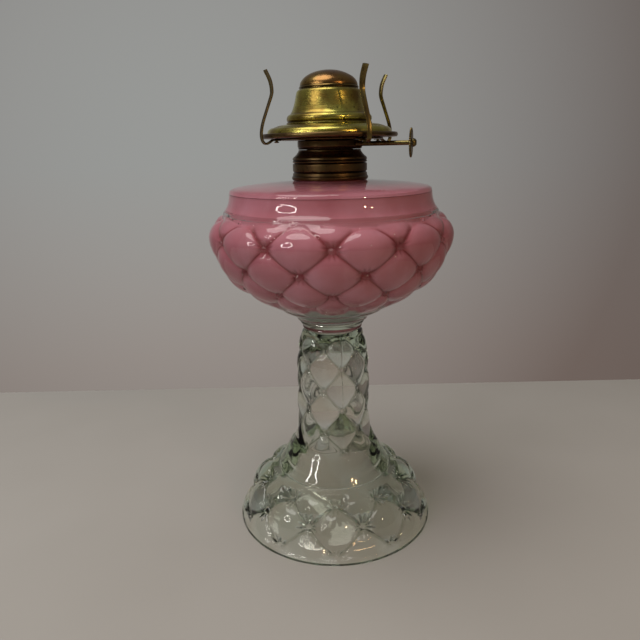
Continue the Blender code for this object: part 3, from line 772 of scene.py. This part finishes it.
def air_screen(material):
    """Flat ring with three rows of air holes."""
    curve = bpy.data.curves.new("air_screen", "CURVE")
    curve.dimensions = "2D"
    curve.fill_mode = "BOTH"
    curve.extrude = 0.35 * MM
    rings = [(0.0, 0.0, 30.6, 128), (0.0, 0.0, 15.6, 96)]
    hole_radius = 1.1
    for row_radius, holes in ((20.2, 20), (23.6, 26), (27.0, 30)):
        for index in range(holes):
            angle = math.tau * (index + 0.5) / holes
            rings.append((row_radius * math.cos(angle), row_radius * math.sin(angle), hole_radius, 14))
    for x, y, radius, count in rings:
        spline = curve.splines.new("POLY")
        spline.points.add(count - 1)
        spline.use_cyclic_u = True
        for index, point in enumerate(spline.points):
            angle = math.tau * index / count
            point.co = ((x + radius * math.cos(angle)) * MM, (y + radius * math.sin(angle)) * MM, 0.0, 1.0)
    outline = bpy.data.objects.new("air_screen_outline", curve)
    bpy.context.collection.objects.link(outline)
    outline.location = (0.0, 0.0, 240.15 * MM)
    bpy.context.view_layer.update()
    mesh = bpy.data.meshes.new_from_object(outline.evaluated_get(bpy.context.evaluated_depsgraph_get()))
    mesh.transform(outline.matrix_world)
    bpy.data.objects.remove(outline)
    shape = bmesh.new()
    shape.from_mesh(mesh)
    bmesh.ops.remove_doubles(shape, verts=shape.verts, dist=1e-6)
    shape.to_mesh(mesh)
    shape.free()
    screen = bpy.data.objects.new("air_screen_sheet", mesh)
    bpy.context.collection.objects.link(screen)
    dress(screen, material, "gallery", "dark_brass", "air_screen")


# ---------------------------------------------------------------- prongs, raiser and wick
PRONG_ANGLES = {1: 42.0, 2: 121.0, 3: 222.0, 4: 312.0}
PRONG_RIVETS = 33.2                     # their distance from the lamp's axis
PRONG_PATH = [(31.2, 239.95), (34.8, 239.95), (36.0, 239.75), (37.7, 238.7), (39.7, 238.0), (41.4, 239.5),
              (42.0, 243.0), (40.9, 248.6), (37.6, 257.0), (35.3, 262.6), (34.8, 265.6), (35.6, 270.4),
              (38.2, 275.6)]


def tube_faces(rows, around):
    """Faces of a closed tube of rows rings with around points each, and of its two ends."""
    faces = []
    for row in range(rows - 1):
        for index in range(around):
            here = row * around + index
            after = row * around + (index + 1) % around
            faces.append((here, after, after + around, here + around))
    faces.append(tuple(reversed(range(around))))
    faces.append(tuple((rows - 1) * around + index for index in range(around)))
    return faces


def sweep(name, centres, normals, side, widths, thickness):
    """A strip swept along centres, dished along its outer face; side is its width's direction."""
    around = np.linspace(0.0, math.tau, 17)[:-1]
    rows = []
    for centre, normal, width in zip(centres, normals, widths):
        across = np.sign(np.cos(around)) * np.abs(np.cos(around)) ** 0.6 * width / 2
        through = np.sign(np.sin(around)) * np.abs(np.sin(around)) ** 0.8 * thickness / 2
        dish = 0.16 * width * ((across / (width / 2)) ** 2 - 0.4)
        rows.append(centre + across[:, None] * side + (through - dish)[:, None] * normal)
    grid = np.array(rows)
    piece = mesh_object(name, grid.reshape(-1, 3) * MM, tube_faces(*grid.shape[:2]), 50.0)
    shape = bmesh.new()
    shape.from_mesh(piece.data)
    bmesh.ops.recalc_face_normals(shape, faces=shape.faces)
    shape.to_mesh(piece.data)
    shape.free()
    return piece


def prongs(material):
    path = evenly(curve_through(PRONG_PATH, 8), 0.5)
    out = outward(path)
    share = np.linspace(0.0, 1.0, len(path))
    widths = 2.9 + 0.9 * fade_between(share, 0.55, 0.95)
    up = np.array([0.0, 0.0, 1.0])
    for number, degrees in PRONG_ANGLES.items():
        angle = math.radians(degrees)
        radial = np.array([math.cos(angle), math.sin(angle), 0.0])
        side = np.array([-math.sin(angle), math.cos(angle), 0.0])
        centres = path[:, :1] * radial + path[:, 1:] * up
        normals = out[:, :1] * radial + out[:, 1:] * up
        strip = sweep(f"prong_{number}_strip", centres, normals, side, widths, 1.0)
        dress(strip, material, f"prong_{number}", "dark_brass", f"prong_{number}")
        corners = [(0.0, 242.6), (0.8, 242.5), (1.2, 242.1), (1.2, 241.8, 0.1), (0.75, 241.8, 0.1),
                   (0.75, 239.1, 0.1), (1.4, 239.1, 0.1), (1.35, 238.7), (0.9, 238.4), (0.0, 238.4)]
        centre = (PRONG_RIVETS * math.cos(angle), PRONG_RIVETS * math.sin(angle))
        rivet = turned(f"prong_{number}_rivet", rounded(corners, 0.2), 24, centre=centre)
        dress(rivet, material, "gallery", "dark_brass", f"prong_rivet_{number}")


def raiser(material):
    """The raiser's shaft with its milled thumb wheel and rivet, each turned upright and laid along +X."""
    shaft = finely(rounded([(0.0, 47.6), (1.3, 47.6), (1.3, -14.5), (0.0, -14.5)], 0.25), 2.0)
    wheel = rounded([(1.5, 47.6, 0.1), (5.6, 47.6), (6.2, 47.3), (7.0, 47.3), (7.4, 47.6, 0.15),
                     (7.9, 47.35, 0.15), (7.9, 46.75, 0.15), (7.4, 46.5, 0.15), (1.5, 46.5, 0.1)], 0.3)
    wheel = finely(wheel, 0.3)
    head = rounded([(0.0, 50.1), (1.2, 50.0), (2.0, 49.3), (2.3, 48.5), (2.3, 47.9, 0.1), (0.0, 47.9)], 0.4)
    segments, tooth_count, tooth_depth = 240, 40, 0.35
    teeth = 0.5 - 0.5 * np.cos(tooth_count * np.arange(segments) * math.tau / segments)
    near_rim = fade_between(wheel[:, 0], 6.9, 7.5)
    inward = np.tile([[-1.0, 0.0]], (len(wheel), 1))
    milling = {"directions": inward, "amounts": tooth_depth * near_rim[:, None] * teeth}
    for piece, replaced in ((turned("raiser_shaft", shaft, 40), "ratchet_shaft"),
                            (turned("thumbwheel_milled", wheel, segments, milling, 30.0), "thumbwheel"),
                            (turned("thumbwheel_rivet_head", head, 48), "thumbwheel_rivet")):
        dress(along_x(piece), material, "wick_raiser", "dark_brass", replaced)


def wick(material):
    """Flat woven cotton strip with rounded edges, upright ribs and a slightly frayed top."""
    width, thickness, bottom, top = 25.0, 2.6, 160.0, 267.0
    count, ribs, rib_depth = 200, 34, 0.09
    around = np.arange(count) * math.tau / count
    cosine, sine = np.cos(around), np.sin(around)
    x = np.sign(cosine) * np.abs(cosine) ** 0.35 * width / 2
    flank = np.sign(sine) * np.abs(sine) ** 0.5
    y = flank * (thickness / 2 - rib_depth + rib_depth * np.cos(math.tau * ribs * x / width))
    levels = np.linspace(bottom, top, 54)
    rows = []
    for level in levels:
        weave = 1.0 - 0.06 * math.sin(level * 2.1)
        fray = 0.35 * np.sin(5.1 * x) * np.sin(2.3 * x + 1.0) - 0.35 if level == top else np.zeros(count)
        rows.append(np.column_stack([x, y * weave, level + fray]))
    band = mesh_object("wick_band", np.vstack(rows) * MM, tube_faces(len(levels), count), 50.0)
    dress(band, material, "wick", "cotton", "wick")


# ---------------------------------------------------------------- lights and stage
NEUTRAL = (1.0, 0.98, 0.95)
WARM = (1.0, 0.62, 0.32)
AIM = Vector((0.0, 0.0, 0.17))          # metres, like the lamps' distances and sizes


def facing(azimuth, elevation, distance):
    """Place for something that looks at the middle of the lamp: position and rotation."""
    spread = math.cos(elevation)
    offset = Vector((spread * math.cos(azimuth), spread * math.sin(azimuth), math.sin(elevation)))
    return AIM + offset * distance, offset.to_track_quat("Z", "Y").to_euler()


def area_light(name, azimuth, elevation, distance, size, energy, colour):
    """A round soft lamp."""
    lamp = bpy.data.lights.new(name, "AREA")
    lamp.shape = "DISK"
    lamp.size = size
    lamp.energy = energy
    lamp.color = colour
    holder = bpy.data.objects.new(name, lamp)
    holder.location, holder.rotation_euler = facing(azimuth, elevation, distance)
    bpy.context.collection.objects.link(holder)


def ring_light(name, azimuth, elevation, distance, outer, inner, strength, colour):
    """A ring-shaped lamp, which mirrors as a small ring in each puff of the glass."""
    count = 64
    angles = np.arange(count) * math.tau / count
    vertices = [(r * math.cos(a), r * math.sin(a), 0.0) for r in (outer, inner) for a in angles]
    faces = [(i, (i + 1) % count, count + (i + 1) % count, count + i) for i in range(count)]
    ring = mesh_object(name, vertices, faces, 0)
    ring.location, ring.rotation_euler = facing(azimuth, elevation, distance)
    material = bpy.data.materials.new(name)
    material.use_nodes = True
    tree = material.node_tree
    tree.nodes.clear()
    output = node(tree, "ShaderNodeOutputMaterial")
    glow = node(tree, "ShaderNodeEmission")
    glow.inputs["Color"].default_value = (*colour, 1.0)
    glow.inputs["Strength"].default_value = strength
    tree.links.new(glow.outputs[0], output.inputs["Surface"])
    ring.data.materials.append(material)
    ring.visible_camera = False


def add_table():
    """Pale table top whose far edge lies behind the lamp."""
    shape = bmesh.new()
    bmesh.ops.create_cube(shape, size=1.0)
    mesh = bpy.data.meshes.new("table")
    width, near, thickness = 2.4, 1.2, 0.02
    back = TABLE_BACK * MM
    for vert in shape.verts:
        vert.co = (vert.co.x * width, vert.co.y * (near + back), vert.co.z * thickness)
    shape.to_mesh(mesh)
    shape.free()
    table = bpy.data.objects.new("table", mesh)
    away = Vector((-math.cos(VIEW_AZIMUTH), -math.sin(VIEW_AZIMUTH), 0.0))
    table.rotation_euler = (0.0, 0.0, math.atan2(away.y, away.x) - math.pi / 2)
    middle = away * ((back - near) / 2)
    table.location = (middle.x, middle.y, -thickness / 2 - 0.0002)
    bpy.context.collection.objects.link(table)
    material, tree, shader, _ = new_material("table_top")
    colour = ramp(tree, noise(tree, 5.0, 3.0), [(0.3, (0.43, 0.41, 0.38)), (0.7, (0.47, 0.45, 0.42))])
    tree.links.new(colour, shader.inputs["Base Color"])
    shader.inputs["Roughness"].default_value = 0.6
    table.data.materials.append(material)


def add_world():
    """A pale wall behind the lamp and a dimmer room round the rest."""
    world = bpy.data.worlds.new("studio")
    world.use_nodes = True
    tree = world.node_tree
    tree.nodes.clear()
    output = tree.nodes.new("ShaderNodeOutputWorld")
    background = tree.nodes.new("ShaderNodeBackground")
    place = tree.nodes.new("ShaderNodeTexCoord")
    bright = VIEW_AZIMUTH + math.pi + math.radians(12.0)
    toward = node(tree, "ShaderNodeVectorMath", operation="DOT_PRODUCT")
    tree.links.new(place.outputs["Generated"], toward.inputs[0])
    toward.inputs[1].default_value = (math.cos(bright), math.sin(bright), 0.0)
    walls = ramp(tree, map_range(tree, toward.outputs["Value"], -1.0, 1.0),
                 [(0.0, (0.10, 0.088, 0.08)), (0.6, (0.075, 0.065, 0.06)), (0.88, (0.15, 0.13, 0.12)),
                  (0.985, (0.295, 0.295, 0.285)), (1.0, (0.31, 0.315, 0.305))])
    split = tree.nodes.new("ShaderNodeSeparateXYZ")
    tree.links.new(place.outputs["Generated"], split.inputs[0])
    lower = map_range(tree, split.outputs[2], -0.32, -0.02)
    walls = mix(tree, 1.0, walls, ramp(tree, lower, [(0.0, (1.05, 0.94, 0.89)), (1.0, 1.0)]), "MULTIPLY")
    ceiling = ramp(tree, split.outputs[2], [(0.25, 0.0), (0.75, 1.0)])
    tree.links.new(mix(tree, ceiling, walls, (0.16, 0.155, 0.15)), background.inputs["Color"])
    tree.links.new(background.outputs[0], output.inputs["Surface"])
    bpy.context.scene.world = world


def main():
    bpy.context.scene.view_settings.view_transform = "Standard"
    add_camera()
    add_table()
    add_world()
    ring_light("ring_lamp", from_view(-50.0), math.radians(24.0), 1.0, 0.20, 0.168, 22.0, NEUTRAL)
    area_light("overhead", from_view(-60.0), math.radians(72.0), 1.1, 0.9, 7.2, NEUTRAL)
    area_light("lamp_right_1", from_view(36.0), math.radians(22.0), 1.2, 0.05, 1.0, WARM)
    area_light("lamp_right_2", from_view(44.0), math.radians(24.0), 1.2, 0.05, 1.0, WARM)
    # The last two colours of each glass are painted: a reflection tint for the dark room, in patches, and a
    # shade tint for its creases.
    glass = glass_material("clear_glass", (0.50, 0.68, 0.42), 26.0, (1.0, 1.0, 1.0),
                           (0.95, 0.91, 0.88), (0.56, 0.58, 0.50))
    casing_glass = glass_material("casing_glass", (0.62, 0.70, 0.60), 12.0, (0.97, 0.97, 0.96),
                                  (0.97, 0.95, 0.95), (0.84, 0.60, 0.60))
    wafer_glass = glass_material("wafer_glass", (0.50, 0.68, 0.42), 20.0, (1.0, 1.0, 1.0),
                                 (0.95, 0.93, 0.93), (0.40, 0.07, 0.10))
    pink = pink_material()
    # The third colour of each brass serves its dark specks and its painted shade in the corners.
    brass = brass_material("burner_brass", (0.64, 0.61, 0.14), (0.27, 0.18, 0.04), (0.07, 0.04, 0.015),
                           coppery_above=265.0)
    prong_brass = brass_material("prong_brass", (0.26, 0.22, 0.08), (0.13, 0.09, 0.035),
                                 (0.04, 0.028, 0.012), 0.47, (0.26, 0.45))
    dark_brass = brass_material("dark_brass", (0.17, 0.115, 0.045), (0.09, 0.048, 0.022),
                                (0.025, 0.014, 0.01), 0.5, (0.24, 0.42))
    foot_and_stem(glass)
    glass_wafer(wafer_glass)
    font_casing(casing_glass)
    font_lining(pink)
    collar(dark_brass)
    burner_base(dark_brass)
    burner_basket(dark_brass)
    air_screen(dark_brass)
    gallery_plate(dark_brass)
    chimney_seat(brass)
    burner_dome(brass)
    prongs(prong_brass)
    raiser(prong_brass)
    wick(cotton_material())
    redress(dark_brass, "ratchet_bracket", "shaft_bush", "vent_tube", "wick_tube", "spur_wheel_1",
            "spur_wheel_2", "spur_wheel_3")
    redress(plaster_material(), "collar_plaster")


main()
